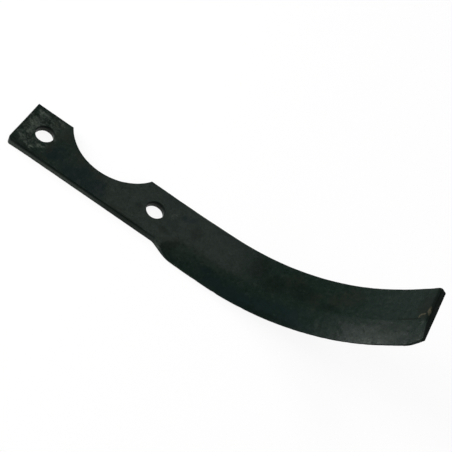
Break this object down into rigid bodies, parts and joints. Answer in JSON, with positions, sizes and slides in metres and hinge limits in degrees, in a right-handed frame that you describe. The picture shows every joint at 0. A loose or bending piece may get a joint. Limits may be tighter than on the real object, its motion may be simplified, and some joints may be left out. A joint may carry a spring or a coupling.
{
  "type": "rotary tiller blade",
  "caption": "Curved steel tiller blade with a flat bolted shank, a half-round shaft notch and a bevelled cutting edge.",
  "frame": {"origin": "midway between the two bolt holes, on the back face that lies against the rotor flange", "axes": "+X along the shank towards the blade's tip, +Y towards the notched edge, +Z to the front, where the blade curves"},
  "size_m": [0.2893, 0.045, 0.0858],
  "materials": {
    "scaled_steel": "black heat-treatment scale on spring steel, scuffed to dull grey round the bolt holes and the bevel"
  },
  "bodies": {
    "root": {"tiller_blade": "scaled_steel"}
  },
  "joints": []
}
